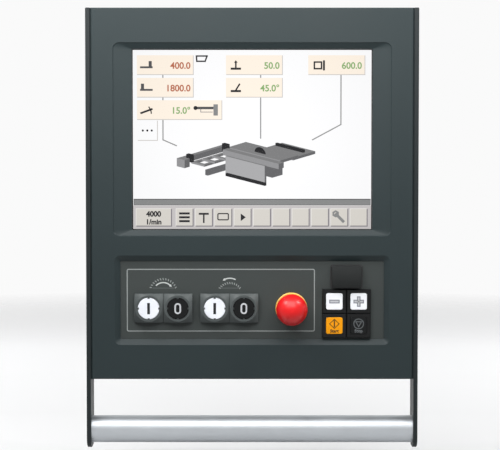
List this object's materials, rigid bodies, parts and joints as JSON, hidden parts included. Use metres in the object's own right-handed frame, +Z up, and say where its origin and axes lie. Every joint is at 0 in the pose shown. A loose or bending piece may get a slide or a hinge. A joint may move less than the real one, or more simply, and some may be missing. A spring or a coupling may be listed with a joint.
{
  "type": "machine operator panel",
  "caption": "Operator panel of a sliding table saw: flat dark housing with recessed touch screen, push buttons, emergency stop, keys, capped data port and grab bar, on a tilting knuckle.",
  "frame": {"origin": "centre of the arm flange's rear face, the face that bolts to the machine's arm", "axes": "+Z up along the panel's height, -Y out of the front towards the user, +X to the user's right"},
  "size_m": [0.342, 0.1793, 0.454],
  "materials": {
    "housing_grey": "moulded, fine matt texture",
    "side_plate_grey": "satin paint",
    "shell_grey": "satin paint",
    "black_rubber": "matt",
    "black_steel": "blackened",
    "satin_aluminium": "satin anodised",
    "plain_aluminium": "plain",
    "clear_glass": "polished",
    "screen_face": "lit",
    "zinc_steel": "zinc plated",
    "flat_cable": "matt",
    "board_green": "solder resist",
    "brass": "turned",
    "connector_black": "matt",
    "switch_plate_grey": "fine matt texture",
    "contact_grey": "matt",
    "stop_yellow": "satin",
    "stop_red": "satin gloss",
    "port_metal": "bright",
    "cap_rubber": "matt",
    "key_white": "satin",
    "key_orange": "satin",
    "key_black": "satin",
    "mount_grey": "powder coated casting",
    "washer_nylon": "plain",
    "lever_black": "fine matt texture",
    "gland_grey": "matt",
    "collar_black": "satin",
    "bezel_black": "satin"
  },
  "bodies": {
    "arm_knuckle": {"tilt_knuckle": "mount_grey"},
    "panel": {"bar_end_plugs": "plain_aluminium", "bar_screws": "black_steel", "board_connectors": "connector_black", "board_standoffs": "brass", "button_springs": "zinc_steel", "cable_gland": "gland_grey", "control_plate": "switch_plate_grey", "control_plate_gasket": "black_rubber", "control_plate_nuts": "zinc_steel", "data_port_frame": "connector_black", "data_port_hinge_pin": "zinc_steel", "data_port_socket": "port_metal", "display_cable": "flat_cable", "display_carrier": "zinc_steel", "display_cell": "screen_face", "display_module": "connector_black", "e_stop_collar": "stop_yellow", "front_panel": "housing_grey", "gland_lock_nut": "gland_grey", "grab_bar": "satin_aluminium", "heat_sink": "plain_aluminium", "inner_screws": "zinc_steel", "key_board": "board_green", "key_contacts": "contact_grey", "left_side_plate": "side_plate_grey", "main_board": "board_green", "main_saw_off_collar": "collar_black", "main_saw_on_collar": "collar_black", "minus_key_bezel": "bezel_black", "mount_plate": "mount_grey", "mount_screws": "black_steel", "plus_key_bezel": "bezel_black", "power_module": "plain_aluminium", "rear_shell": "shell_grey", "right_side_plate": "side_plate_grey", "scoring_saw_off_collar": "collar_black", "scoring_saw_on_collar": "collar_black", "screen_gasket": "black_rubber", "shell_gasket": "black_rubber", "side_plate_screws": "black_steel", "start_key_bezel": "bezel_black", "stop_key_bezel": "bezel_black", "switch_contact_blocks": "contact_grey", "switch_lock_nuts": "connector_black", "tilt_bolt": "zinc_steel", "tilt_washers": "washer_nylon", "touch_glass": "clear_glass"},
    "main_saw_on": {"main_saw_on_button": "key_white"},
    "main_saw_off": {"main_saw_off_button": "key_black"},
    "scoring_saw_on": {"scoring_saw_on_button": "key_white"},
    "scoring_saw_off": {"scoring_saw_off_button": "key_black"},
    "minus_key": {"minus_key": "key_white"},
    "plus_key": {"plus_key": "key_white"},
    "start_key": {"start_key": "key_orange"},
    "stop_key": {"stop_key": "key_black"},
    "e_stop_plunger": {"e_stop_plunger": "contact_grey"},
    "e_stop_head": {"e_stop_head": "stop_red"},
    "port_cap": {"data_port_cap": "cap_rubber"},
    "clamp_lever": {"clamp_lever": "lever_black"}
  },
  "joints": [
    {"name": "panel_tilt", "type": "hinge", "parent": "arm_knuckle", "child": "panel", "pos_m": [0, -0.045, 0], "axis": [1, 0, 0], "range_deg": [-20, 20]},
    {"name": "clamp_lever_turn", "type": "hinge", "parent": "panel", "child": "clamp_lever", "pos_m": [0, -0.045, 0], "axis": [1, 0, 0], "range_deg": [0, 35]},
    {"name": "port_cap_lift", "type": "hinge", "parent": "panel", "child": "port_cap", "pos_m": [0.09725, -0.1487, -0.07595], "axis": [1, 0, 0], "range_deg": [-90, 0]},
    {"name": "main_saw_on_press", "type": "slide", "parent": "panel", "child": "main_saw_on", "axis": [0, 1, 0], "range_m": [0, 0.003], "stiffness_N_per_m": 900, "springref_m": -0.001, "deforming": ["button_springs"]},
    {"name": "main_saw_off_press", "type": "slide", "parent": "panel", "child": "main_saw_off", "axis": [0, 1, 0], "range_m": [0, 0.003], "stiffness_N_per_m": 900, "springref_m": -0.001, "deforming": ["button_springs"]},
    {"name": "scoring_saw_on_press", "type": "slide", "parent": "panel", "child": "scoring_saw_on", "axis": [0, 1, 0], "range_m": [0, 0.003], "stiffness_N_per_m": 900, "springref_m": -0.001, "deforming": ["button_springs"]},
    {"name": "scoring_saw_off_press", "type": "slide", "parent": "panel", "child": "scoring_saw_off", "axis": [0, 1, 0], "range_m": [0, 0.003], "stiffness_N_per_m": 900, "springref_m": -0.001, "deforming": ["button_springs"]},
    {"name": "minus_key_press", "type": "slide", "parent": "panel", "child": "minus_key", "axis": [0, 1, 0], "range_m": [0, 0.0015], "stiffness_N_per_m": 800, "springref_m": -0.0006},
    {"name": "plus_key_press", "type": "slide", "parent": "panel", "child": "plus_key", "axis": [0, 1, 0], "range_m": [0, 0.0015], "stiffness_N_per_m": 800, "springref_m": -0.0006},
    {"name": "start_key_press", "type": "slide", "parent": "panel", "child": "start_key", "axis": [0, 1, 0], "range_m": [0, 0.0015], "stiffness_N_per_m": 800, "springref_m": -0.0006},
    {"name": "stop_key_press", "type": "slide", "parent": "panel", "child": "stop_key", "axis": [0, 1, 0], "range_m": [0, 0.0015], "stiffness_N_per_m": 800, "springref_m": -0.0006},
    {"name": "e_stop_push", "type": "slide", "parent": "panel", "child": "e_stop_plunger", "axis": [0, 1, 0], "range_m": [0, 0.005]},
    {"name": "e_stop_twist", "type": "hinge", "parent": "e_stop_plunger", "child": "e_stop_head", "pos_m": [0.0405, -0.1713, -0.118], "axis": [0, 1, 0], "range_deg": [0, 45], "stiffness_Nm_per_rad": 0.05, "springref_deg": -5.73}
  ]
}
